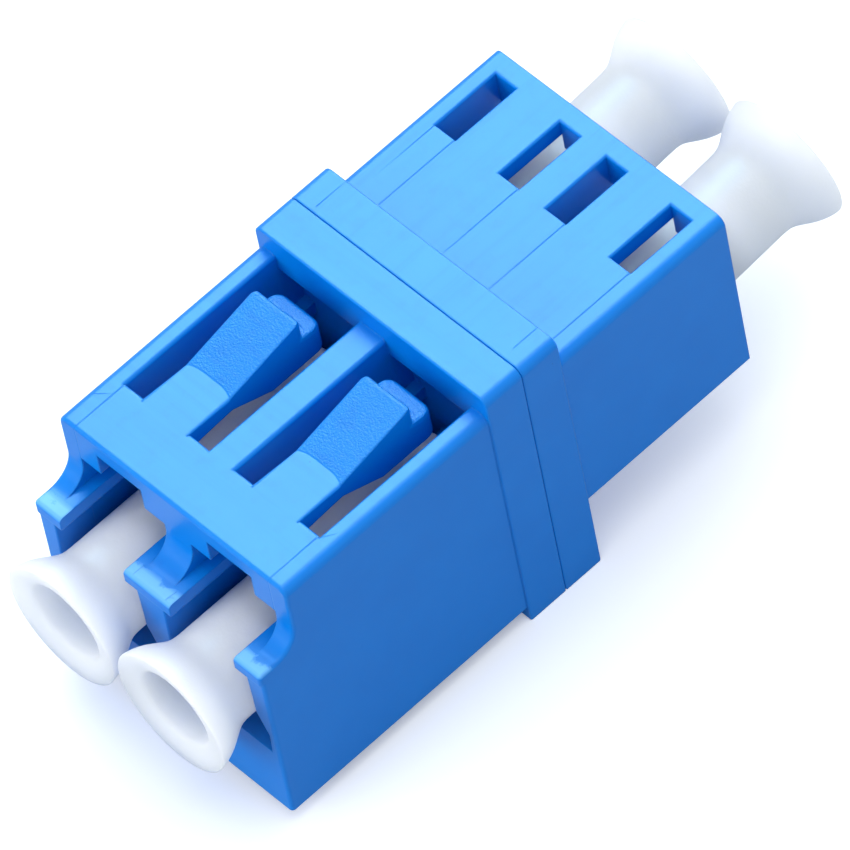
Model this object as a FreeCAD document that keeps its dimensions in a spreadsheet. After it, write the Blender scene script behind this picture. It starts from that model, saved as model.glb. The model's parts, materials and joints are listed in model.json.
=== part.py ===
import FreeCAD, Part
import os
import re
import Sketcher

# Duplex LC fibre adapter: two welded half housings, a press lever over each near port,
# a split sleeve on each optical axis and a dust cap in each of the four ports.
# X runs across the two ports, Y along the optical axes, Z up.
# The origin is on the weld seam, midway between the ports, at the collar's underside.

doc = FreeCAD.newDocument("lc_fibre_adapter")

sizes = [
    # plug interface, shared by all four ports
    ("port_pitch", 6.25),
    ("port_width", 4.75),
    ("rail_reach", 0.55),
    ("rail_height", 0.68),
    ("lug_ceiling", 4.6),
    ("arm_slot_width", 2.5),
    ("latch_reach", 10.05),
    # housing walls
    ("side_wall", 0.95),
    ("roof", 0.85),
    ("web", 1.0),
    ("edge_round", 0.45),
    # near half
    ("lintel_thickness", 2.8),
    ("near_rise", 6.65),
    ("near_drop", 6.15),
    ("mouth_step", 1.95),
    ("cove_radius", 1.2),
    ("nose_radius", 0.2),
    ("mouth_flare_wall", 0.4),
    ("mouth_flare_height", 1.15),
    ("mouth_flare_slant", 1.15),
    ("mouth_flare_depth", 1.2),
    # far half
    ("mouth_wall", 0.9),
    ("far_rise", 6.35),
    ("far_floor", 0.55),
    ("slot_length", 3.3),
    # collar
    ("collar_half", 1.95),
    ("collar_side", 0.1),
    ("collar_rise", 1.1),
    ("collar_foot", 0.8),
    ("seam_chamfer", 0.05),
    # sleeve and the bosses that hold it
    ("sleeve_length", 6.8),
    ("sleeve_diameter", 1.62),
    ("sleeve_bore", 1.25),
    ("sleeve_slit", 0.2),
    ("sleeve_play", 0.065),
    ("sleeve_end_play", 0.05),
    ("boss_wall", 0.6),
    ("lip_bore", 1.4),
    ("lip_mouth", 1.9),
    ("lip_length", 0.45),
    # press lever
    ("lever_width", 2.56),
    ("lever_flat", 2.25),
    ("ramp_length", 3.9),
    ("ramp_rise", 0.95),
    ("tab_length", 1.0),
    ("tab_step", 0.1),
    ("tab_depth", 1.7),
    ("tab_corner", 0.5),
    ("ramp_corner", 0.2),
    ("hinge_play", 0.04),
    # dust cap
    ("cap_start", 1.8),
    ("cap_length", 15.4),
    ("stem_radius", 2.1),
    ("rim_radius", 2.9),
    ("rim_land", 0.75),
    ("flare_length", 1.15),
    ("neck_round", 0.8),
    ("rim_break", 0.3),
    ("boss_fit", 0.12),
    ("stem_wall", 0.5),
    ("cap_web", 0.8),
    ("cup_depth", 4.0),
    ("cup_radius", 1.95),
    ("cup_break", 0.3),
    ("far_cap_lean", 5.3),
]

sheet = doc.addObject("Spreadsheet::Sheet", "Sizes")
named = {alias: f"Sizes.{alias}" for alias, value in sizes}
for row, (alias, value) in enumerate(sizes, start=1):
    sheet.set(f"A{row}", alias)
    sheet.set(f"B{row}", str(value))
    sheet.setAlias(f"B{row}", alias)
doc.recompute()
working = doc.addObject("Spreadsheet::Sheet", "Working")

# places that several pieces share, written with the sheet's names
axis = "(near_drop + collar_foot)"
halfPort = "port_width / 2"
halfPitch = "port_pitch / 2"
halfBody = "((port_pitch + port_width) / 2 + side_wall)"
halfCollar = f"({halfBody} + collar_side)"
nearTop = f"({axis} + near_rise)"
farTop = f"({axis} + far_rise)"
collarTop = f"({nearTop} + collar_rise)"
nearLength = "(latch_reach + lintel_thickness + mouth_step)"
farLength = "(latch_reach + mouth_wall)"
portFloor = f"({axis} - {halfPort})"
railFoot = f"({axis} + {halfPort})"
railTop = f"({railFoot} + rail_height)"
lugCeiling = f"({axis} + lug_ceiling)"
portLeft = f"({halfPitch} - {halfPort})"
portRight = f"({halfPitch} + {halfPort})"
railLeft = f"({portLeft} + rail_reach)"
railRight = f"({portRight} - rail_reach)"
slotLeft = f"({halfPitch} - arm_slot_width / 2)"
slotRight = f"({halfPitch} + arm_slot_width / 2)"
bossLength = "(sleeve_length / 2 + sleeve_end_play + lip_length)"
bossBore = "(sleeve_diameter / 2 + sleeve_play)"
bossRadius = f"({bossBore} + boss_wall)"
capPivot = f"((cap_start + {bossLength}) / 2)"


def bound(expression):
    """The expression with every size name pointed at the sheet."""
    return re.sub(r"\b[a-z_]+\b", lambda word: named.get(word[0], word[0]), expression)


def number(expression):
    """What the expression comes to now, worked out on a sheet of its own."""
    working.set("A1", "=" + bound(expression))
    working.recompute()
    return float(working.get("A1"))


def newBody(label, x="0", z="0", turn=0):
    """A body whose own origin stands at x and z, turned about Z."""
    body = doc.addObject("PartDesign::Body", label)
    body.Label = label
    body.Placement = FreeCAD.Placement(FreeCAD.Vector(), FreeCAD.Rotation(turn, 0, 0))
    body.setExpression("Placement.Base.x", bound(x))
    body.setExpression("Placement.Base.z", bound(z))
    return body


def originFeature(body, role):
    return next(item for item in body.Origin.OriginFeatures if item.Role == role)


def newSketch(body, name, role, offset="0"):
    sketch = body.newObject("Sketcher::SketchObject", name)
    sketch.AttachmentSupport = [(originFeature(body, role), "")]
    sketch.MapMode = "FlatFace"
    sketch.setExpression("AttachmentOffset.Base.z", bound(offset))
    return sketch


def pin(sketch, geometry, point, place):
    """Dimension one point of a sketch from its origin."""
    for kind, expression in zip(("DistanceX", "DistanceY"), place):
        index = sketch.addConstraint(
            Sketcher.Constraint(kind, -1, 1, geometry, point, number(expression)))
        sketch.setExpression(f"Constraints[{index}]", bound(expression))


def outline(sketch, corners):
    """A closed outline of straight lines through corners given as expressions."""
    points = [FreeCAD.Vector(number(across), number(up), 0) for across, up in corners]
    lines = []
    for start, end in zip(points, points[1:] + points[:1]):
        lines.append(sketch.addGeometry(Part.LineSegment(start, end), False))
    for line, following in zip(lines, lines[1:] + lines[:1]):
        sketch.addConstraint(Sketcher.Constraint("Coincident", line, 2, following, 1))
    for line, corner in zip(lines, corners):
        pin(sketch, line, 1, corner)


def rectangle(sketch, low, high, bottom, top):
    outline(sketch, [(low, bottom), (high, bottom), (high, top), (low, top)])


def circle(sketch, centre, radius):
    middle = FreeCAD.Vector(number(centre[0]), number(centre[1]), 0)
    ring = Part.Circle(middle, FreeCAD.Vector(0, 0, 1), number(radius))
    index = sketch.addGeometry(ring, False)
    pin(sketch, index, 3, centre)
    size = sketch.addConstraint(Sketcher.Constraint("Radius", index, number(radius)))
    sketch.setExpression(f"Constraints[{size}]", bound(radius))


def volumeBefore(body):
    doc.recompute()
    return body.Shape.Volume if body.Tip else 0.0


def extrude(kind, body, sketch, length, both=False, flip=False):
    """Pad or pocket a sketch by length, both ways or one way, and check that it acts."""
    before = volumeBefore(body)
    feature = body.newObject(f"PartDesign::{kind}", sketch.Name + kind)
    feature.Profile = sketch
    feature.SideType = "Symmetric" if both else "One side"
    feature.Reversed = flip
    feature.setExpression("Length", bound(length))
    doc.recompute()
    change = feature.Shape.Volume - before
    if (change <= 0) == (kind == "Pad"):
        raise RuntimeError(f"{feature.Name} changes nothing")
    return feature


def revolve(kind, body, sketch, edge):
    """Turn a sketch right round one of its own edges."""
    feature = body.newObject(f"PartDesign::{kind}", sketch.Name + kind)
    feature.Profile = sketch
    feature.ReferenceAxis = (sketch, [edge])
    feature.Angle = 360
    doc.recompute()
    return feature


def edgesAt(feature, x=None, y=None, z=None, radius=None):
    """Names of the edges at the given places; x counts on both sides of the middle."""
    places = [None if place is None else number(place) for place in (x, y, z)]
    wantedRadius = None if radius is None else number(radius)
    names = []
    for index, edge in enumerate(feature.Shape.Edges, start=1):
        box = edge.BoundBox
        spans = [(box.XMin, box.XMax), (box.YMin, box.YMax), (box.ZMin, box.ZMax)]
        if x is not None and box.XMax < 0:
            spans[0] = (-box.XMin, -box.XMax)
        placed = all(place is None or max(abs(low - place), abs(high - place)) < 1e-3
                     for place, (low, high) in zip(places, spans))
        sized = radius is None or abs(getattr(edge.Curve, "Radius", 0) - wantedRadius) < 1e-3
        if placed and sized:
            names.append(f"Edge{index}")
    return names


def dress(kind, body, base, name, edges, size):
    """Fillet or chamfer the named edges of a feature."""
    if not edges:
        raise RuntimeError(f"{name} finds no edge")
    feature = body.newObject(f"PartDesign::{kind}", name)
    feature.Base = (base, edges)
    feature.setExpression("Radius" if kind == "Fillet" else "Size", bound(size))
    doc.recompute()
    return feature


def mirror(body, name, originals):
    """Repeat features of the right port on the left one."""
    feature = body.newObject("PartDesign::Mirrored", name)
    feature.Originals = originals
    feature.MirrorPlane = (originFeature(body, "YZ_Plane"), [""])
    body.Tip = feature
    doc.recompute()
    return feature


def housingBlock(body, outward, length, bottom, top):
    """This half's outer block and its share of the collar, both rounded along the top."""
    low, high = (f"-({length})", "0") if outward < 0 else ("0", length)
    side = newSketch(body, body.Name + "Side", "YZ_Plane")
    rectangle(side, low, high, bottom, top)
    block = extrude("Pad", body, side, f"2 * {halfBody}", both=True)
    edges = edgesAt(block, x=halfBody, z=top)
    return dress("Fillet", body, block, body.Name + "TopRound", edges, "edge_round")


def collarHalf(body, outward):
    """This half's share of the collar, with its top rounded and its seam edge broken."""
    face = "collar_half" if outward > 0 else "-(collar_half)"
    low, high = (face, "0") if outward < 0 else ("0", face)
    side = newSketch(body, body.Name + "Collar", "YZ_Plane")
    rectangle(side, low, high, "0", collarTop)
    collar = extrude("Pad", body, side, f"2 * {halfCollar}", both=True)
    edges = edgesAt(collar, x=halfCollar, z=collarTop)
    rounded = dress("Fillet", body, collar, body.Name + "CollarRound", edges, "edge_round")
    seam = edgesAt(rounded, y="0")
    return dress("Chamfer", body, rounded, body.Name + "SeamBreak", seam, "seam_chamfer")


def port(body, outward, length, ceiling):
    """The right port: plug bay with rails, lug channel and arm slot, latch room, boss."""
    near = outward < 0
    start = "web" if near else "-(web)"

    section = newSketch(body, body.Name + "MouthSection", "XZ_Plane", start)
    outline(section, [
        (portLeft, portFloor), (portRight, portFloor), (portRight, railFoot),
        (railRight, railFoot), (railRight, railTop), (portRight, railTop),
        (portRight, lugCeiling), (slotRight, lugCeiling), (slotRight, ceiling),
        (slotLeft, ceiling), (slotLeft, lugCeiling), (portLeft, lugCeiling),
        (portLeft, railTop), (railLeft, railTop), (railLeft, railFoot),
        (portLeft, railFoot)])
    bay = extrude("Pocket", body, section, f"{length} - web", flip=near)

    latch = newSketch(body, body.Name + "LatchRoom", "XZ_Plane", start)
    rectangle(latch, portLeft, portRight, railTop, ceiling)
    room = extrude("Pocket", body, latch, "latch_reach - web", flip=near)

    ring = newSketch(body, body.Name + "Boss", "XZ_Plane", start)
    circle(ring, (halfPitch, axis), bossRadius)
    boss = extrude("Pad", body, ring, f"{bossLength} - web", flip=not near)

    sleeveRoom = newSketch(body, body.Name + "SleeveRoom", "XZ_Plane")
    circle(sleeveRoom, (halfPitch, axis), bossBore)
    bore = extrude("Pocket", body, sleeveRoom, f"{bossLength} - lip_length", flip=near)

    throat = newSketch(body, body.Name + "Throat", "XY_Plane", axis)
    out = "-" if near else ""
    shelf = f"{out}({bossLength} - lip_length)"
    end = f"{out}{bossLength}"
    outline(throat, [
        (halfPitch, "0"), (f"{halfPitch} + lip_bore / 2", "0"),
        (f"{halfPitch} + lip_bore / 2", shelf), (f"{halfPitch} + lip_mouth / 2", end),
        (halfPitch, end)])
    return [bay, room, boss, bore, revolve("Groove", body, throat, "Edge5")]


def nearHousing():
    body = newBody("near_housing")
    lintel = "-(latch_reach + lintel_thickness)"
    housingBlock(body, -1, nearLength, "collar_foot", nearTop)

    step = newSketch(body, "MouthStep", "YZ_Plane")
    rectangle(step, f"-{nearLength}", lintel, railTop, nearTop)
    cut = extrude("Pocket", body, step, f"2 * {halfBody}", both=True)
    cove = dress("Fillet", body, cut, "MouthCove", edgesAt(cut, y=lintel, z=railTop), "cove_radius")
    nose = edgesAt(cove, y=f"-{nearLength}", z=railTop)
    dress("Fillet", body, cove, "LedgeNose", nose, "nose_radius")
    collarHalf(body, -1)

    ceiling = f"({nearTop} - roof)"
    features = port(body, -1, nearLength, ceiling)

    window = newSketch(body, "LeverWindow", "XY_Plane", nearTop)
    rectangle(window, portLeft, portRight, "-(latch_reach)", "-(collar_half)")
    features.append(extrude("Pocket", body, window, "roof"))

    # the lower corners of the mouth are wider, so that a plug finds its way in
    flare = newSketch(body, "MouthFlare", "XZ_Plane", nearLength)
    wideLeft = f"({portLeft} - side_wall + mouth_flare_wall)"
    wideRight = f"({portRight} + side_wall - mouth_flare_wall)"
    shoulder = f"({portFloor} + mouth_flare_height)"
    outline(flare, [
        (wideLeft, portFloor), (wideRight, portFloor), (wideRight, shoulder),
        (portRight, f"{shoulder} + mouth_flare_slant"),
        (portLeft, f"{shoulder} + mouth_flare_slant"), (wideLeft, shoulder)])
    features.append(extrude("Pocket", body, flare, "mouth_flare_depth"))

    # a round-backed seat in the roof for the lever's root
    seat = newSketch(body, "LeverSeat", "YZ_Plane", halfPitch)
    circle(seat, ("-(latch_reach)", f"{nearTop} - roof / 2"), "roof / 2 + hinge_play")
    features.append(extrude("Pocket", body, seat, "lever_width + 2 * hinge_play", both=True))

    mirror(body, "LeftPort", features)
    return body


def farHousing():
    body = newBody("far_housing")
    housingBlock(body, 1, farLength, f"{portFloor} - far_floor", farTop)
    collarHalf(body, 1)
    features = port(body, 1, farLength, f"({farTop} - roof)")

    # a plug's two latch lugs snap up into these
    slots = newSketch(body, "LatchSlots", "XY_Plane", farTop)
    for inner, outer in ((portLeft, slotLeft), (slotRight, portRight)):
        rectangle(slots, inner, outer, "latch_reach - slot_length", "latch_reach")
    features.append(extrude("Pocket", body, slots, "roof"))

    mirror(body, "LeftPort", features)
    return body


def pressLever(label, x):
    """A lever rooted in the roof, flat at first, then a ramp for the finger and an end tab."""
    body = newBody(label, x)
    root = "-(latch_reach)"
    rampFoot = f"({root} + lever_flat)"
    rampHead = f"({rampFoot} + ramp_length)"
    tip = f"({rampHead} + tab_length)"
    under = f"({nearTop} - roof)"
    side = newSketch(body, label + "Side", "YZ_Plane")
    outline(side, [
        (root, under), (rampFoot, under), (f"{rampFoot} + ramp_length / 2", f"{nearTop} - tab_depth"),
        (tip, f"{nearTop} - tab_depth"), (tip, f"{nearTop} - tab_step"),
        (rampHead, f"{nearTop} - tab_step"), (rampHead, f"{nearTop} + ramp_rise"),
        (rampFoot, nearTop), (root, nearTop)])
    extrude("Pad", body, side, "lever_width", both=True)
    rootSide = newSketch(body, label + "Root", "YZ_Plane")
    circle(rootSide, (root, f"{nearTop} - roof / 2"), "roof / 2")
    blade = extrude("Pad", body, rootSide, "lever_width", both=True)
    corners = edgesAt(blade, x="lever_width / 2", y=tip)
    tab = dress("Fillet", body, blade, label + "TabCorners", corners, "tab_corner")
    heads = edgesAt(tab, x="lever_width / 2", y=rampHead)
    dress("Fillet", body, tab, label + "RampCorners", heads, "ramp_corner")
    return body


def splitSleeve(label, x):
    """A slit ceramic tube that lines up two ferrules."""
    body = newBody(label, x, axis)
    ring = newSketch(body, label + "Ring", "XZ_Plane")
    circle(ring, ("0", "0"), "sleeve_diameter / 2")
    circle(ring, ("0", "0"), "sleeve_bore / 2")
    extrude("Pad", body, ring, "sleeve_length", both=True)
    slit = newSketch(body, label + "Slit", "XZ_Plane")
    rectangle(slit, "-(sleeve_slit / 2)", "sleeve_slit / 2", "0", "sleeve_diameter")
    extrude("Pocket", body, slit, "sleeve_length", both=True)
    return body


def dustCap(label, x, turn):
    """A hollow stem that slips over the boss, a flared rim and a cup in its outer end."""
    body = newBody(label, x, axis, turn)
    bore = f"({bossRadius} + boss_fit)"
    end = "(cap_start + cap_length)"
    cupFloor = f"({end} - cup_depth)"
    land = f"({end} - rim_land)"
    neck = f"({land} - flare_length)"
    half = newSketch(body, label + "Half", "XY_Plane")
    outline(half, [
        (bore, "cap_start"), (bore, f"{cupFloor} - cap_web"), ("0", f"{cupFloor} - cap_web"),
        ("0", cupFloor), ("stem_radius - stem_wall", cupFloor), ("cup_radius", end),
        ("rim_radius", end), ("rim_radius", land), ("stem_radius", neck),
        ("stem_radius", "cap_start")])
    turned = revolve("Revolution", body, half, "Edge3")
    rims = edgesAt(turned, y=end, radius="rim_radius")
    rim = dress("Chamfer", body, turned, label + "Rim", rims, "rim_break")
    cups = edgesAt(rim, y=end, radius="cup_radius")
    cup = dress("Chamfer", body, rim, label + "Cup", cups, "cup_break")
    necks = edgesAt(cup, y=neck, radius="stem_radius")
    dress("Fillet", body, cup, label + "Neck", necks, "neck_round")
    return body


def leanUp(body):
    """Lean a far cap's outer end up, about the middle of its hold on the boss."""
    turn = FreeCAD.Rotation(FreeCAD.Vector(1, 0, 0), number("far_cap_lean"))
    body.Placement = FreeCAD.Placement(body.Placement.Base, turn)
    body.setExpression("Placement.Rotation.Angle", bound("far_cap_lean * 1deg"))
    body.setExpression("Placement.Base.y", bound(f"{capPivot} * (1 - cos(far_cap_lean))"))
    body.setExpression("Placement.Base.z", bound(f"{axis} - {capPivot} * sin(far_cap_lean)"))


pieces = [nearHousing(), farHousing()]
for hand, side in (("left", f"-({halfPitch})"), ("right", halfPitch)):
    pieces.append(pressLever(f"{hand}_release_lever", side))
    pieces.append(splitSleeve(f"{hand}_split_sleeve", side))
    pieces.append(dustCap(f"near_{hand}_dust_cap", side, 180))
    farCap = dustCap(f"far_{hand}_dust_cap", side, 0)
    leanUp(farCap)
    pieces.append(farCap)
doc.removeObject(working.Name)
doc.recompute()

for item in doc.Objects:
    if {"Invalid", "Error"} & set(item.State):
        raise RuntimeError(f"{item.Name} is {item.State}")
os.makedirs("parts", exist_ok=True)
for piece in pieces:
    shape = piece.Shape
    if shape.isNull() or not shape.isValid() or len(shape.Solids) != 1:
        raise RuntimeError(f"{piece.Label} is not one valid solid")
    shape.exportStep(f"parts/{piece.Label}.step")
    print(piece.Label, round(shape.Volume, 3), shape.BoundBox)
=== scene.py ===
import json
import math

import bmesh
import bpy
from mathutils import Matrix, Vector


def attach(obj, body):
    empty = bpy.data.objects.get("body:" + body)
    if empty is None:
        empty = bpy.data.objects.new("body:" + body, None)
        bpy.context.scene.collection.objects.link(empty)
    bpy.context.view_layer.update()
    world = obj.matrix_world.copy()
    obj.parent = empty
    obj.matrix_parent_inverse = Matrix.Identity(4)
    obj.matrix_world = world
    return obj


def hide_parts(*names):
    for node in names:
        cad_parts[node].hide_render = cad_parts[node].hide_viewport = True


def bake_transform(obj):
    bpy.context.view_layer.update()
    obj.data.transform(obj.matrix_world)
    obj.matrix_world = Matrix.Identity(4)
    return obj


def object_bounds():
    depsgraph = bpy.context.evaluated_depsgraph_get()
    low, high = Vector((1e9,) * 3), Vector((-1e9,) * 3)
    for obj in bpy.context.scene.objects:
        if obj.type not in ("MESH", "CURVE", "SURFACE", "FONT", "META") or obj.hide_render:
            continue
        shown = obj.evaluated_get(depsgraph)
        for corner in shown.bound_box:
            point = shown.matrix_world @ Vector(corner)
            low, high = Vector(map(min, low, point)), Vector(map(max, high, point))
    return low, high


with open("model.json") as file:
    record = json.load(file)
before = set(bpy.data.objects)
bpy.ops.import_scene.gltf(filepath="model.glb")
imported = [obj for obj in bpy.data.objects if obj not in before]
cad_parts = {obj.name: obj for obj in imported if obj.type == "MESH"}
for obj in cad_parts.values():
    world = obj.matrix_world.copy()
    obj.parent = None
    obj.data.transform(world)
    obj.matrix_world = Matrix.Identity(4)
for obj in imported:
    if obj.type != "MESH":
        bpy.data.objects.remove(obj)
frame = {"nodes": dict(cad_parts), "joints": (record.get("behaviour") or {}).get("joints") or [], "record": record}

scene = bpy.context.scene
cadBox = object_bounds()
mm = 0.001
hands = ("left", "right")
joints = {joint["name"]: joint for joint in frame["joints"]}
portAxis = {mount["name"].split("_")[0]: Vector(mount["pos_m"])
            for mount in frame["record"]["mounts"] if mount["kind"] == "bore"}


def setInputs(tree, node, inputs):
    # each input takes a value, or a link from another node's output
    for name, value in inputs.items():
        if isinstance(value, bpy.types.NodeSocket):
            tree.links.new(value, node.inputs[name])
        else:
            node.inputs[name].default_value = value
    return node


def addNode(tree, kind, inputs=None, **settings):
    node = tree.nodes.new(kind)
    for name, value in settings.items():
        setattr(node, name, value)
    return setInputs(tree, node, inputs or {})


def maths(tree, operation, first, second=0.0, clamp=False):
    node = addNode(tree, "ShaderNodeMath", {0: first, 1: second}, operation=operation)
    node.use_clamp = clamp
    return node.outputs[0]


def multiply(tree, first, *others):
    for other in others:
        first = maths(tree, "MULTIPLY", first, other)
    return first


def vectorMaths(tree, operation, first, second=(0, 0, 0)):
    node = addNode(tree, "ShaderNodeVectorMath", {0: first, 1: second}, operation=operation)
    return node.outputs["Value" if operation in ("DOT_PRODUCT", "LENGTH") else "Vector"]


def splitVector(tree, vector):
    return addNode(tree, "ShaderNodeSeparateXYZ", {"Vector": vector}).outputs


def remap(tree, value, fromLow, fromHigh, toLow=0.0, toHigh=1.0):
    return addNode(tree, "ShaderNodeMapRange", {
        "Value": value, "From Min": fromLow, "From Max": fromHigh,
        "To Min": toLow, "To Max": toHigh}).outputs[0]


def blendColour(tree, factor, first, second):
    # sockets 6, 7 and output 2 are the mix node's colour ones
    node = addNode(tree, "ShaderNodeMix", {0: factor, 6: first, 7: second}, data_type="RGBA")
    return node.outputs[2]


def blendVector(tree, factor, first, second):
    # sockets 4, 5 and output 1 are the mix node's vector ones
    node = addNode(tree, "ShaderNodeMix", {0: factor, 4: first, 5: second}, data_type="VECTOR")
    return node.outputs[1]


def noise(tree, point, size, detail=2.0, roughness=0.5):
    # size in millimetres
    return addNode(tree, "ShaderNodeTexNoise", {
        "Vector": point, "Scale": maths(tree, "DIVIDE", 1000.0, size),
        "Detail": detail, "Roughness": roughness}).outputs["Fac"]


def newGroup(name, inputs, outputs):
    tree = bpy.data.node_groups.new(name, "ShaderNodeTree")
    for label, kind, value in inputs:
        socket = tree.interface.new_socket(label, in_out="INPUT", socket_type="NodeSocket" + kind)
        if value is not None:
            socket.default_value = value
    for label in outputs:
        tree.interface.new_socket(label, in_out="OUTPUT", socket_type="NodeSocketFloat")
    return tree, tree.nodes.new("NodeGroupInput"), tree.nodes.new("NodeGroupOutput")


def useGroup(tree, group, inputs):
    node = tree.nodes.new("ShaderNodeGroup")
    node.node_tree = group
    return setInputs(tree, node, inputs).outputs


def makeMouldGroup():
    # broad sink marks, fine grain, mottled rubbing and fine scratches drawn out along one way
    tree, given, result = newGroup(
        "mouldedFace",
        [("Position", "Vector", None), ("Sink Size", "Float", 2.5), ("Grain Size", "Float", 0.05),
         ("Rub Size", "Float", 0.9), ("Stretch", "Vector", (3000.0, 100.0, 3000.0))],
        ["Sink", "Grain", "Rub", "Scratches"])
    point = given.outputs["Position"]
    patches = noise(tree, point, given.outputs["Rub Size"], detail=4.0, roughness=0.65)
    drawn = vectorMaths(tree, "MULTIPLY", point, given.outputs["Stretch"])
    scratches = addNode(tree, "ShaderNodeTexNoise", {
        "Vector": drawn, "Scale": 1.0, "Detail": 3.0, "Roughness": 0.6}).outputs["Fac"]
    parts = {
        "Sink": noise(tree, point, given.outputs["Sink Size"]),
        "Grain": noise(tree, point, given.outputs["Grain Size"], detail=3.0, roughness=0.6),
        "Rub": remap(tree, patches, fromLow=0.52, fromHigh=0.72),
        "Scratches": scratches,
    }
    for label, value in parts.items():
        tree.links.new(value, result.inputs[label])
    return tree


def makeSpeckGroup():
    # sparse round specks caught in the surface: spacing and size in millimetres, share of cells with one
    tree, given, result = newGroup(
        "specks",
        [("Position", "Vector", None), ("Spacing", "Float", 0.9), ("Size", "Float", 0.04),
         ("Share", "Float", 0.3)],
        ["Mask"])
    scale = maths(tree, "DIVIDE", 1000.0, given.outputs["Spacing"])
    cells = addNode(tree, "ShaderNodeTexVoronoi",
                    {"Vector": given.outputs["Position"], "Scale": scale}, feature="F1")
    radius = maths(tree, "DIVIDE", given.outputs["Size"], given.outputs["Spacing"])
    away = maths(tree, "DIVIDE", cells.outputs["Distance"], radius)
    inside = maths(tree, "SUBTRACT", 1.0, away, clamp=True)
    split = addNode(tree, "ShaderNodeSeparateColor", {"Color": cells.outputs["Color"]})
    chosen = maths(tree, "LESS_THAN", split.outputs["Red"], given.outputs["Share"])
    speck = maths(tree, "MULTIPLY", maths(tree, "POWER", inside, 0.5), chosen)
    tree.links.new(speck, result.inputs["Mask"])
    return tree


def makeHairlineGroup():
    # a fine line from Start to End as seen from above, in millimetres, fading towards End
    tree, given, result = newGroup(
        "hairline",
        [("Position", "Vector", None), ("Start", "Vector", None), ("End", "Vector", None),
         ("Width", "Float", 0.03), ("Fade", "Float", 0.0)],
        ["Mask"])
    flat = vectorMaths(tree, "MULTIPLY", given.outputs["Position"], (1000.0, 1000.0, 0.0))
    reach = vectorMaths(tree, "SUBTRACT", flat, given.outputs["Start"])
    run = vectorMaths(tree, "SUBTRACT", given.outputs["End"], given.outputs["Start"])
    share = maths(tree, "DIVIDE", vectorMaths(tree, "DOT_PRODUCT", reach, run),
                  vectorMaths(tree, "DOT_PRODUCT", run, run), clamp=True)
    nearest = addNode(tree, "ShaderNodeVectorMath", {0: run, "Scale": share}, operation="SCALE")
    away = vectorMaths(tree, "LENGTH",
                       vectorMaths(tree, "SUBTRACT", reach, nearest.outputs["Vector"]))
    line = maths(tree, "SUBTRACT", 1.0,
                 maths(tree, "DIVIDE", away, given.outputs["Width"]), clamp=True)
    fading = maths(tree, "SUBTRACT", 1.0, maths(tree, "MULTIPLY", share, given.outputs["Fade"]))
    tree.links.new(maths(tree, "MULTIPLY", line, fading), result.inputs["Mask"])
    return tree


mouldedFace = makeMouldGroup()
specks = makeSpeckGroup()
hairline = makeHairlineGroup()


def newMaterial(name):
    material = bpy.data.materials.new(name)
    material.use_nodes = True
    tree = material.node_tree
    return material, tree, tree.nodes["Principled BSDF"], tree.nodes.new("ShaderNodeTexCoord")


bluePlastic = {
    "deep": (0.000, 0.184, 0.66, 1),
    "bright": (0.000, 0.217, 0.73, 1),
    "speck": (0.0, 0.06, 0.30, 1),
    "rubbed": (0.0, 0.13, 0.53, 1),
    "face": {"Sink Size": 2.5, "Grain Size": 0.05, "Rub Size": 0.9},
    "specks": {"Spacing": 1.3, "Size": 0.04, "Share": 0.10},
    "speckStrength": 0.7,
    "rubStrength": 0.30,
    "upward": (0.80, 0.97),       # rubbing and scratches come in on faces that look up this much
    "streaks": 0.22,
    "streakRange": (0.50, 0.70),  # scratches from here on up darken the colour too
    "roughness": (0.28, 0.36),
    "roughRange": (0.0, 0.65),
    "specular": 0.30,
    "grainDepth": 0.0012 * mm,
    "scratchDepth": 0.0020 * mm,
    "lineDepth": 0.016 * mm,
    "translucency": 0.10,
    "reach": 0.30 * mm,
    "scatter": (0.3, 0.6, 1.0),
    "edgeRadius": 0.10 * mm,      # every edge and corner of the moulding is softened this much
    "edgeSamples": 6,
    # no edge is softened where the lever's root lies flush in the roof
    "root": {"centre": 3.125 * mm, "half": 1.42 * mm, "seat": -10.20 * mm, "reach": 0.22 * mm,
             "upward": (0.5, 0.9)},
}


# painted highlight on the ledges' flat fronts: paler the more the face looks up, ending in a ragged edge where
# shade begins
def ledgeHighlightMask(tree, place, facing, rub, litPatch):
    ragged = maths(tree, "MULTIPLY", maths(tree, "SUBTRACT", rub, 0.5), litPatch["ragged"])
    highlighted = remap(tree, maths(tree, "ADD", place["Y"], ragged), *litPatch["fade"])
    above = maths(tree, "GREATER_THAN", place["Z"], litPatch["low"])
    below = maths(tree, "LESS_THAN", place["Z"], litPatch["high"])
    upward = remap(tree, facing["Z"], *litPatch["upward"], toHigh=litPatch["strength"])
    return multiply(tree, highlighted, above, below, upward)


def treadMask(tree, place, facing, tread):
    # from a bowed line across the blade to the tab's end, where the finger presses
    across = maths(tree, "SUBTRACT", maths(tree, "ABSOLUTE", place["X"]), tread["centre"])
    share = maths(tree, "ABSOLUTE", maths(tree, "DIVIDE", across, tread["half"]))
    bow = maths(tree, "MULTIPLY", maths(tree, "POWER", share, 4.0), tread["bow"])
    beyond = maths(tree, "SUBTRACT", maths(tree, "ADD", place["Y"], bow), tread["foot"])
    before = maths(tree, "SUBTRACT", tread["head"], place["Y"])
    return multiply(tree, remap(tree, beyond, 0.0, tread["border"]),
                    remap(tree, before, 0.0, tread["border"]),
                    remap(tree, facing["Z"], *tread["upward"]))


def rootMask(tree, place, facing, root):
    across = maths(tree, "SUBTRACT", maths(tree, "ABSOLUTE", place["X"]), root["centre"])
    along = maths(tree, "SUBTRACT", place["Y"], root["seat"])
    return multiply(tree,
                    maths(tree, "LESS_THAN", maths(tree, "ABSOLUTE", across), root["half"]),
                    maths(tree, "LESS_THAN", maths(tree, "ABSOLUTE", along), root["reach"]),
                    remap(tree, facing["Z"], *root["upward"]))


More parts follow.
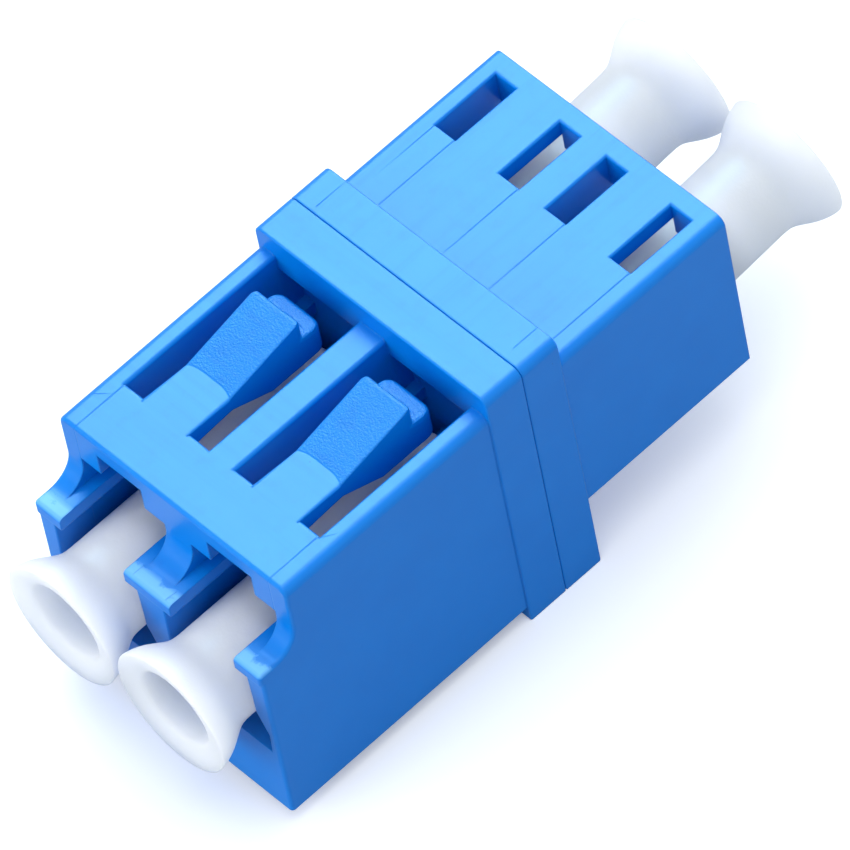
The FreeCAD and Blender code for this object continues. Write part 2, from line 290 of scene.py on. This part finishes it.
def blueMaterial(name, stretch, lines=(), tread=None, litPatch=None):
    material, tree, shader, coordinates = newMaterial(name)
    point = coordinates.outputs["Object"]
    place = splitVector(tree, point)
    facing = splitVector(tree, coordinates.outputs["Normal"])
    face = useGroup(tree, mouldedFace,
                    {"Position": point, "Stretch": stretch, **bluePlastic["face"]})
    dots = useGroup(tree, specks, {"Position": point, **bluePlastic["specks"]})

    upward = remap(tree, facing["Z"], *bluePlastic["upward"])
    scratches = maths(tree, "MULTIPLY", face["Scratches"], upward)
    rubbed = multiply(tree, face["Rub"], upward, bluePlastic["rubStrength"])
    specked = maths(tree, "MULTIPLY", dots["Mask"], bluePlastic["speckStrength"])
    streaks = maths(tree, "MULTIPLY", remap(tree, scratches, *bluePlastic["streakRange"]),
                    bluePlastic["streaks"])
    colour = blendColour(tree, face["Sink"], bluePlastic["deep"], bluePlastic["bright"])
    colour = blendColour(tree, rubbed, colour, bluePlastic["rubbed"])
    colour = blendColour(tree, specked, colour, bluePlastic["speck"])
    colour = blendColour(tree, streaks, colour, bluePlastic["rubbed"])
    # painted highlight on the fronts of the ledge tops, blended into the colour
    if litPatch:
        highlighted = ledgeHighlightMask(tree, place, facing, face["Rub"], litPatch)
        colour = blendColour(tree, highlighted, colour, litPatch["colour"])

    rough = remap(tree, scratches, *bluePlastic["roughRange"], *bluePlastic["roughness"])
    height = maths(tree, "ADD", maths(tree, "MULTIPLY", face["Grain"], bluePlastic["grainDepth"]),
                   maths(tree, "MULTIPLY", scratches, bluePlastic["scratchDepth"]))
    for start, end, width, fade in lines:
        line = useGroup(tree, hairline, {"Position": point, "Start": (*start, 0), "End": (*end, 0),
                                         "Width": width, "Fade": fade})
        height = maths(tree, "SUBTRACT", height,
                       maths(tree, "MULTIPLY", line["Mask"], bluePlastic["lineDepth"]))
    if tread:
        inside = treadMask(tree, place, facing, tread)
        spark = noise(tree, point, tread["sparkSize"], detail=2.5, roughness=0.55)
        height = maths(tree, "ADD", height, multiply(tree, spark, inside, tread["sparkDepth"]))
        rough = maths(tree, "ADD", rough, maths(tree, "MULTIPLY", inside, tread["dulled"]))

    edges = addNode(tree, "ShaderNodeBevel", {"Radius": bluePlastic["edgeRadius"]},
                    samples=bluePlastic["edgeSamples"])
    plain = tree.nodes.new("ShaderNodeNewGeometry")
    softened = blendVector(tree, rootMask(tree, place, facing, bluePlastic["root"]),
                           edges.outputs[0], plain.outputs["Normal"])
    bump = addNode(tree, "ShaderNodeBump", {
        "Height": height, "Distance": 1.0, "Strength": 1.0, "Normal": softened})
    setInputs(tree, shader, {
        "Base Color": colour, "Roughness": rough, "Normal": bump.outputs[0],
        "Specular IOR Level": bluePlastic["specular"],
        "Subsurface Weight": bluePlastic["translucency"],
        "Subsurface Scale": bluePlastic["reach"],
        "Subsurface Radius": bluePlastic["scatter"]})
    return material


capPlastic = {
    "milk": (0.84, 0.865, 0.925, 1),
    "shade": (0.81, 0.84, 0.905, 1),
    "speck": (0.20, 0.19, 0.24, 1),
    "face": {"Sink Size": 1.8, "Grain Size": 0.12, "Rub Size": 1.5},
    "specks": {"Spacing": 1.4, "Size": 0.04, "Share": 0.12},
    "speckStrength": 0.8,
    "roughness": 0.36,
    "specular": 0.3,
    "translucency": 1.0,
    "reach": 2.5 * mm,
    "scatter": (1.0, 1.0, 1.15),
    "grainDepth": 0.005 * mm,
}


def capMaterial():
    material, tree, shader, coordinates = newMaterial("milkyCap")
    point = coordinates.outputs["Object"]
    face = useGroup(tree, mouldedFace, {"Position": point, **capPlastic["face"]})
    dots = useGroup(tree, specks, {"Position": point, **capPlastic["specks"]})
    specked = maths(tree, "MULTIPLY", dots["Mask"], capPlastic["speckStrength"])
    colour = blendColour(tree, face["Sink"], capPlastic["shade"], capPlastic["milk"])
    colour = blendColour(tree, specked, colour, capPlastic["speck"])
    height = maths(tree, "MULTIPLY", face["Grain"], capPlastic["grainDepth"])
    bump = addNode(tree, "ShaderNodeBump", {"Height": height, "Distance": 1.0, "Strength": 1.0})
    setInputs(tree, shader, {
        "Base Color": colour, "Normal": bump.outputs[0], "Roughness": capPlastic["roughness"],
        "Specular IOR Level": capPlastic["specular"],
        "Subsurface Weight": capPlastic["translucency"],
        "Subsurface Scale": capPlastic["reach"],
        "Subsurface Radius": capPlastic["scatter"]})
    return material


ceramic = {
    "warm": (0.80, 0.78, 0.72, 1),
    "pale": (0.86, 0.84, 0.79, 1),
    "face": {"Sink Size": 0.8, "Grain Size": 0.02},
    "roughness": (0.10, 0.25),
}


def sleeveMaterial():
    material, tree, shader, coordinates = newMaterial("zirconia")
    face = useGroup(tree, mouldedFace,
                    {"Position": coordinates.outputs["Object"], **ceramic["face"]})
    setInputs(tree, shader, {
        "Base Color": blendColour(tree, face["Sink"], ceramic["warm"], ceramic["pale"]),
        "Roughness": remap(tree, face["Grain"], 0.0, 1.0, *ceramic["roughness"])})
    return material


print("materials ready")


def loft(bm, sections):
    # joins closed sections of equal count as one tube with flat ends
    loops = [[bm.verts.new(Vector(point) * mm) for point in section] for section in sections]
    count = len(loops[0])
    for one, other in zip(loops, loops[1:]):
        for index in range(count):
            after = (index + 1) % count
            bm.faces.new((one[index], one[after], other[after], other[index]))
    bm.faces.new(reversed(loops[0]))
    bm.faces.new(loops[-1])


def roundedOutline(corners, steps=5):
    # a closed outline of (across, up, radius) corners; a corner with no radius stays a point
    points = []
    for index, (across, up, radius) in enumerate(corners):
        corner = Vector((across, up))
        if not radius:
            points.append(corner)
            continue
        before = (Vector(corners[index - 1][:2]) - corner).normalized()
        after = (Vector(corners[(index + 1) % len(corners)][:2]) - corner).normalized()
        half = before.angle(after) / 2
        centre = corner + (before + after).normalized() * (radius / math.sin(half))
        start = corner + before * (radius / math.tan(half)) - centre
        turn = start.angle_signed(corner + after * (radius / math.tan(half)) - centre)
        for step in range(steps + 1):
            spin = Matrix.Rotation(-turn * step / steps, 2)
            points.append(centre + spin @ start)
    return points


def shrink(outline, amounts):
    # moves each point of a closed outline, drawn anticlockwise, inwards by its own amount
    moved = []
    for index, point in enumerate(outline):
        along = outline[(index + 1) % len(outline)] - outline[index - 1]
        inward = Vector((-along.y, along.x)).normalized()
        moved.append(point + inward * amounts[index])
    return moved


def smooth(value, low, high):
    share = min(max((value - low) / (high - low), 0.0), 1.0)
    return share * share * (3 - 2 * share)


def addPiece(name, bm, material):
    bmesh.ops.recalc_face_normals(bm, faces=bm.faces)
    mesh = bpy.data.meshes.new(name)
    bm.to_mesh(mesh)
    bm.free()
    mesh.materials.append(material)
    mesh.shade_smooth()
    piece = bpy.data.objects.new(name, mesh)
    scene.collection.objects.link(piece)
    return piece


def keepFlatsFlat(piece, angle=50, wide=0.3):
    # a face this wide in millimetres keeps its own normal to its corners;
    # the narrow ones between blend from face to face
    mesh = piece.data
    around = [[] for vertex in mesh.vertices]
    width = []
    for face in mesh.polygons:
        corners = [mesh.vertices[index].co for index in face.vertices]
        longest = max((corner - corners[index - 1]).length for index, corner in enumerate(corners))
        width.append(face.area / longest)
        for index in face.vertices:
            around[index].append(face.index)
    limit = math.cos(math.radians(angle))
    normals = []
    for face in mesh.polygons:
        for index in face.vertices:
            normal = face.normal.copy()
            if width[face.index] < wide * mm:
                near = [mesh.polygons[other] for other in around[index]]
                near = [other for other in near if other.normal.dot(face.normal) > limit]
                normal = sum((other.normal * other.area for other in near), Vector())
            normals.append(normal.normalized())
    mesh.normals_split_custom_set(normals)


# a box is its lowest and highest corner in millimetres, as (|x|, y, z), and holds an edge by its middle;
# a pass is a list of boxes and the radius that the edges in them are rounded with
housing = {
    "sharp": [
        ((0, -0.12, -1), (9, 0.12, 20)),             # weld seam
        ((1.7, -10.3, 11.4), (4.55, -10.0, 13.7)),   # where the lever grows out of the roof
    ],
    "near": [
        ([((0.7, -10.1, 13.59), (5.6, -2.0, 13.61))], 0.17),   # lever window
        ([((0, -12.9, 13.1), (6.5, -12.8, 13.7)),              # lintel and mouth's outer edge
          ((6.4, -14.9, 0.7), (6.5, -12.8, 13.2))], 0.17),
        ([((0, -1.96, 14.6), (6.6, -1.94, 14.8)),              # collar's front outline
          ((6.05, -1.96, -1), (6.6, -1.94, 14.8)),
          ((0, -1.96, -1), (6.6, -1.94, 0.1))], 0.08),
        ([((0, -14.9, 4.6), (6.2, -14.7, 9.3))], 0.10),        # inner edges of the mouth's walls
    ],
    "far": [
        ([((0, 2.0, 13.2), (5.6, 10.2, 13.4))], 0.12),         # latch slots
        ([((0, 1.94, 14.6), (6.6, 1.96, 14.8)),                # collar's back outline
          ((6.05, 1.94, -1), (6.6, 1.96, 14.8)),
          ((0, 1.94, -1), (6.6, 1.96, 0.1))], 0.08),
    ],
    "steps": 4,
    "sharpest": 40,   # edges that turn by fewer degrees than this stay as they are
    # the ledges' noses stand a little proud of the walls under them
    "nose": {"front": -14.8, "back": -14.59, "underside": 9.33, "step": 0.04, "proud": 0.08},
}


def solidOf(node):
    # the node's mesh with its triangles joined back into flat faces
    bm = bmesh.new()
    bm.from_mesh(frame["nodes"][node].data)
    bmesh.ops.remove_doubles(bm, verts=bm.verts, dist=0.0005 * mm)
    bmesh.ops.dissolve_limit(bm, angle_limit=math.radians(0.6), verts=bm.verts, edges=bm.edges)
    bmesh.ops.recalc_face_normals(bm, faces=bm.faces)
    return bm


def liesIn(point, boxes):
    return any(all(low[axis] <= point[axis] <= high[axis] for axis in range(3))
               for low, high in boxes)


def roundEdges(bm, boxes, radius):
    chosen = []
    for edge in bm.edges:
        if len(edge.link_faces) != 2 or not edge.is_convex:
            continue
        middle = (edge.verts[0].co + edge.verts[1].co) / (2 * mm)
        middle.x = abs(middle.x)
        turned = edge.calc_face_angle() >= math.radians(housing["sharpest"])
        if turned and liesIn(middle, boxes) and not liesIn(middle, housing["sharp"]):
            chosen.append(edge)
    bmesh.ops.bevel(bm, geom=chosen, offset=radius * mm, offset_type="OFFSET",
                    segments=housing["steps"], profile=0.5, affect="EDGES", clamp_overlap=False)


def drawNosesForward(bm):
    nose = housing["nose"]
    for height in (nose["underside"], nose["underside"] + nose["step"]):
        front = [face for face in bm.faces if face.normal.y < -0.99
                 and abs(face.calc_center_median().y - nose["front"] * mm) < 0.01 * mm]
        edges = {edge for face in front for edge in face.edges}
        corners = {vert for face in front for vert in face.verts}
        bmesh.ops.bisect_plane(bm, geom=[*front, *edges, *corners], dist=0.0001 * mm,
                               plane_co=(0, 0, height * mm), plane_no=(0, 0, 1))
    lowest = (nose["underside"] + nose["step"] / 2) * mm
    for vert in bm.verts:
        if vert.co.y < nose["back"] * mm and vert.co.z > lowest:
            vert.co.y -= nose["proud"] * mm


def makeHousing(half, material):
    node = half + "_housing"
    bm = solidOf(node)
    if half == "near":
        drawNosesForward(bm)
    for boxes, radius in housing[half]:
        roundEdges(bm, boxes, radius)
    piece = addPiece(node + "_shell", bm, material)
    keepFlatsFlat(piece)
    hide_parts(node)
    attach(piece, "housing")
    print(node, "made")


# which way the mould's fine scratches are drawn out
alongX = (100.0, 3500.0, 3500.0)
alongY = (3500.0, 100.0, 3500.0)
# fine lines of the mould: from, to (seen from above), width, and how far each fades
nearLines = [
    ((-5.5, -10.05), (-5.5, -12.9), 0.04, 0.3),
    ((5.5, -10.05), (5.5, -12.9), 0.04, 0.3),
    ((-6.25, -11.35), (-5.55, -10.75), 0.02, 0.4),
    ((5.55, -10.2), (5.95, -9.6), 0.02, 0.4),
    ((0.95, -14.7), (1.0, -14.15), 0.03, 0.2),
    ((0.98, -14.5), (1.2, -14.42), 0.025, 0.3),
    ((-0.9, -14.7), (-0.88, -14.1), 0.02, 0.4),
]
farLines = [
    ((-5.5, 6.75), (-5.5, 3.5), 0.03, 0.8),
    ((-4.375, 6.75), (-4.375, 1.95), 0.035, 0.4),
    ((-0.75, 6.75), (-0.75, 1.95), 0.035, 0.5),
    ((1.875, 6.75), (1.875, 1.95), 0.035, 0.5),
    ((5.5, 6.75), (5.5, 0.6), 0.035, 0.3),
    ((-5.3, 0.3), (-5.3, 1.9), 0.03, 0.7),
]
# painted highlight: the ledges' tops are painted pale at the front, where their flat part catches the light, with
# a ragged edge where shade begins
ledgeHighlight = {
    "colour": (0.20, 0.56, 0.96, 1),
    "fade": (-14.22 * mm, -14.50 * mm),   # begins at the first, full at the second
    "low": 9.7 * mm,
    "high": 10.1 * mm,
    "ragged": 0.35 * mm,
    "upward": (0.2, 0.9),
    "strength": 0.65,
}
makeHousing("near", blueMaterial("blueNear", alongX, nearLines, litPatch=ledgeHighlight))
makeHousing("far", blueMaterial("blueFar", alongY, farLines))


# a blade of rounded sections side by side, each drawn along (y, z)
lever = {
    "halfWidth": 1.28,
    "seatWidth": 1.318,              # half width where it fills its seat in the roof
    "seatRun": (-0.05, 0.1),         # past the hinge, where it narrows to the blade
    "edgeRadius": 0.15,
    "edgeSteps": 5,
    "edgeRun": 0.5,                  # past the hinge, over which the side edges become round
    "strip": 0.09,                   # width of the five strips beside each side edge
    "root": (-10.05, 12.75, 13.6),   # hinge line, underside and top
    "seat": [(-10.237, 13.6), (-10.257, 13.56), (-10.24, 13.175), (-10.2, 12.9)],
    "foot": (-7.88, 0.24),           # start of the ramp at the sides, and its bow towards the middle
    "head": (-3.9, 14.55),
    "bend": (-5.85, 11.9),           # where the underside has come down to the tab's
    "tip": (-2.9, 13.5),
    "tabFall": 0.12,
    "dish": 0.05,
    "headCorner": 0.22,              # corners seen from above
    "tabCorner": 0.5,
    "rounds": {"under": 0.35, "tabFoot": 0.16, "tabEdge": 0.24, "step": 0.08,
               "head": 0.17, "foot": 0.5},
    "flex": 0.8 * mm,                # length over which the root bends
    "tread": {"centre": 3.125 * mm, "half": 1.28 * mm, "bow": 0.24 * mm, "foot": -7.70 * mm,
              "head": -2.95 * mm, "border": 0.08 * mm, "upward": (0.3, 0.6),
              "sparkSize": 0.085, "sparkDepth": 0.046 * mm, "dulled": 0.05},
    # uneven line across the tab, as (across from the blade's middle, y)
    "tabLine": [(-1.05, -3.60), (0.2, -3.53), (1.0, -3.62)],
    "tabLineWidth": 0.05,
}


def tabLines():
    lines = []
    for hand in hands:
        middle = portAxis[hand].x / mm
        corners = [(middle + across, along) for across, along in lever["tabLine"]]
        lines += [(start, end, lever["tabLineWidth"], 0.0) for start, end in zip(corners, corners[1:])]
    return lines


def standBack(across, radius):
    # how far a rounded corner, seen from above, stands back at this distance from the middle
    past = across - (lever["halfWidth"] - radius)
    return radius - math.sqrt(radius * radius - past * past) if past > 0 else 0.0


def leverSection(x, inset):
    share = min(abs(x) / lever["halfWidth"], 1.0)
    hollow, flatness = 1 - share ** 2, 1 - share ** 4
    rootY, under, top = lever["root"]
    headY, headZ = lever["head"]
    tipY, tabTop = lever["tip"]
    bendY, low = lever["bend"]
    footY = lever["foot"][0] + lever["foot"][1] * flatness
    headY -= standBack(abs(x), lever["headCorner"])
    tipY -= standBack(abs(x), lever["tabCorner"])
    rounds = lever["rounds"]
    outline = roundedOutline([
        (rootY, under, 0),
        (footY, under, rounds["under"]),
        (bendY, low, rounds["under"]),
        (tipY, low, rounds["tabFoot"]),
        (tipY, tabTop - lever["tabFall"], rounds["tabEdge"]),
        (headY, tabTop, rounds["step"]),
        (headY, headZ - lever["dish"] * hollow, rounds["head"]),
        (footY, top, rounds["foot"]),
        *((along, up, 0) for along, up in lever["seat"]),
    ])
    amounts = [inset * smooth(point.x, rootY, rootY + lever["edgeRun"]) for point in outline]
    start, end = (rootY + run for run in lever["seatRun"])
    fuller = lever["seatWidth"] / lever["halfWidth"] - 1
    section = []
    for point in shrink(outline, amounts):
        wide = 1 + fuller * (1 - smooth(point.x, start, end))
        section.append((x * wide, point.x, point.y))
    return section


def makeLever(hand, material):
    half, radius, steps = lever["halfWidth"], lever["edgeRadius"], lever["edgeSteps"]
    turns = [math.pi / 2 * step / steps for step in range(steps + 1)]
    rim = [(half - radius + radius * math.cos(turn), radius - radius * math.sin(turn)) for turn in turns]
    inner = [(half - radius - lever["strip"] * step, 0.0) for step in range(1, 6)]
    middle = [(inner[-1][0] * share, 0.0) for share in (0.75, 0.5, 0.25)]
    places = rim + inner + middle
    places = [(-x, inset) for x, inset in places] + [(0.0, 0.0)] + list(reversed(places))
    bm = bmesh.new()
    loft(bm, [leverSection(x, inset) for x, inset in places])
    bmesh.ops.translate(bm, verts=bm.verts, vec=(portAxis[hand].x, 0, 0))
    piece = addPiece(f"{hand}_lever_blade", bm, material)
    keepFlatsFlat(piece, 60)
    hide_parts(f"{hand}_release_lever")
    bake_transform(piece)


leverBlue = blueMaterial("blueLever", alongX, tabLines(), tread=lever["tread"])
for hand in hands:
    makeLever(hand, leverBlue)
print("levers made")


cap = {
    "turns": 96,
    "leanPivot": 2.85,   # distance from the seam at which a leaning cap crosses its port's axis
    # from the cup's floor out over the lip and down to the open inner end, as (radius, distance)
    "profile": [
        (0.0, 13.25), (1.1, 13.25), (1.45, 13.29), (1.64, 13.42), (1.72, 13.65), (1.74, 14.1),
        (1.76, 15.2), (1.78, 16.3), (1.785, 16.62), (1.80, 16.72), (1.83, 16.80), (1.89, 16.86),
        (1.98, 16.9), (2.2, 16.97), (2.5, 17.05), (2.8, 17.12), (2.87, 17.13), (2.915, 17.12),
        (2.94, 17.09), (2.95, 17.05), (2.945, 17.0), (2.925, 16.88), (2.88, 16.68), (2.79, 16.42),
        (2.68, 16.18), (2.55, 15.95), (2.41, 15.72), (2.29, 15.52), (2.20, 15.34), (2.14, 15.15),
        (2.11, 14.93), (2.1, 14.6), (2.1, 8.0), (2.1, 2.0), (2.07, 1.88), (1.98, 1.81),
        (1.85, 1.8), (1.72, 1.83), (1.62, 1.95), (1.595, 2.2), (1.595, 8.0), (1.595, 12.0),
        (1.54, 12.25), (1.35, 12.38), (0.0, 12.4)],
}


def makeCap(end, hand, material):
    axis = Vector(joints[f"{end}_{hand}_cap_pull"]["axis"]).normalized()
    side = Vector((1, 0, 0))
    up = side.cross(axis)
    straight = Vector((0, math.copysign(1, axis.y), 0))
    pivot = portAxis[hand] / mm + straight * cap["leanPivot"]
    rings = []
    for turn in range(cap["turns"]):
        angle = 2 * math.pi * turn / cap["turns"]
        outward = side * math.cos(angle) + up * math.sin(angle)
        rings.append([pivot + axis * (along - cap["leanPivot"]) + outward * radius
                      for radius, along in cap["profile"]])
    bm = bmesh.new()
    first = bm.verts.new(rings[0][0] * mm)
    last = bm.verts.new(rings[0][-1] * mm)
    loops = [[bm.verts.new(point * mm) for point in ring[1:-1]] for ring in rings]
    for one, other in zip(loops, loops[1:] + loops[:1]):
        bm.faces.new((first, one[0], other[0]))
        bm.faces.new((last, other[-1], one[-1]))
        for index in range(len(one) - 1):
            bm.faces.new((one[index], one[index + 1], other[index + 1], other[index]))
    piece = addPiece(f"{end}_{hand}_cap_turned", bm, material)
    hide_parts(f"{end}_{hand}_dust_cap")
    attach(piece, f"{end}_{hand}_cap")


milkyCap = capMaterial()
zirconia = sleeveMaterial()
for hand in hands:
    makeCap("near", hand, milkyCap)
    makeCap("far", hand, milkyCap)
    sleeve = frame["nodes"][f"{hand}_split_sleeve"]
    for slot in sleeve.material_slots:
        slot.link = "OBJECT"
        slot.material = zirconia
print("caps and sleeves made")


studio = {
    "floor": (0.93, 0.95, 0.98, 1),
    "floorBounce": (0.44, 0.48, 0.54, 1),   # what the floor throws back on the object
    "floorGlow": 0.24,
    "floorSize": 3.0,
    "floorGap": 0.01 * mm,                  # keeps the floor's face clear of the collar's underside
    "world": (0.90, 0.95, 1.0, 1),
    "worldStrength": 0.82,
    # name, direction from the object, distance, size, watts, colour, and what it shows in
    "lamps": [
        ("sheen", (-0.43, 0.54, 0.72), 0.47, 0.42, 9.0, (0.36, 0.72, 1.0), "gloss"),
        ("overhead", (-0.43, 0.54, 0.72), 0.47, 0.42, 1.7, (1, 1, 1), "body"),
        ("zenith", (0.10, -0.05, 1.0), 0.50, 0.34, 0.7, (1, 1, 1), "both"),
        ("frontFill", (-0.35, -0.90, 0.28), 0.50, 0.30, 1.2, (1, 1, 1), "body"),
    ],
}


def makeFloor():
    material, tree, shader, coordinates = newMaterial("paleFloor")
    seen = tree.nodes.new("ShaderNodeLightPath").outputs["Is Camera Ray"]
    setInputs(tree, shader, {
        "Base Color": blendColour(tree, seen, studio["floorBounce"], studio["floor"]),
        "Roughness": 0.6, "Specular IOR Level": 0.1, "Emission Color": studio["floor"],
        "Emission Strength": maths(tree, "MULTIPLY", seen, studio["floorGlow"])})
    bm = bmesh.new()
    bmesh.ops.create_grid(bm, x_segments=2, y_segments=2, size=studio["floorSize"])
    mesh = bpy.data.meshes.new("floor")
    bm.to_mesh(mesh)
    bm.free()
    mesh.materials.append(material)
    floor = bpy.data.objects.new("floor", mesh)
    floor.location.z = -studio["floorGap"]
    scene.collection.objects.link(floor)


def addSoftLight(target, name, direction, distance, size, watts, colour, shows):
    data = bpy.data.lights.new(name, "AREA")
    data.shape = "SQUARE"
    data.size = size
    data.energy = watts
    data.color = colour
    lamp = bpy.data.objects.new(name, data)
    back = Vector(direction).normalized()
    lamp.location = target + back * distance
    lamp.rotation_euler = (-back).to_track_quat("-Z", "Y").to_euler()
    lamp.visible_glossy = shows != "body"
    lamp.visible_diffuse = shows != "gloss"
    scene.collection.objects.link(lamp)


makeFloor()
for lamp in studio["lamps"]:
    addSoftLight((cadBox[0] + cadBox[1]) / 2, *lamp)
world = bpy.data.worlds.new("studio")
world.use_nodes = True
setInputs(world.node_tree, world.node_tree.nodes["Background"],
          {"Color": studio["world"], "Strength": studio["worldStrength"]})
scene.world = world
scene.view_settings.view_transform = "Standard"


cameraView = {
    "azimuth": 55.94,        # degrees from straight in front of the near mouth, towards +X
    "elevation": 53.5,
    "roll": -12.27,
    "distance": 0.58854,
    "aim": (-1.992, 0.868, 2.455),
    "lens": 630.07,
    "sensor": 36,
    "clip": (0.01, 10),
}


def makeCamera():
    turn, rise, roll = (math.radians(cameraView[key]) for key in ("azimuth", "elevation", "roll"))
    back = Vector((math.sin(turn) * math.cos(rise), -math.cos(turn) * math.cos(rise), math.sin(rise)))
    right = Vector((0, 0, 1)).cross(back).normalized()
    up = back.cross(right)
    rolledRight = right * math.cos(roll) + up * math.sin(roll)
    rolledUp = up * math.cos(roll) - right * math.sin(roll)
    data = bpy.data.cameras.new("camera")
    data.lens = cameraView["lens"]
    data.sensor_width = cameraView["sensor"]
    data.clip_start, data.clip_end = cameraView["clip"]
    camera = bpy.data.objects.new("camera", data)
    turned = Matrix((rolledRight, rolledUp, back)).transposed().to_4x4()
    spot = Vector(cameraView["aim"]) * mm + back * cameraView["distance"]
    camera.matrix_world = Matrix.Translation(spot) @ turned
    scene.collection.objects.link(camera)
    scene.camera = camera


makeCamera()
print("stage ready")
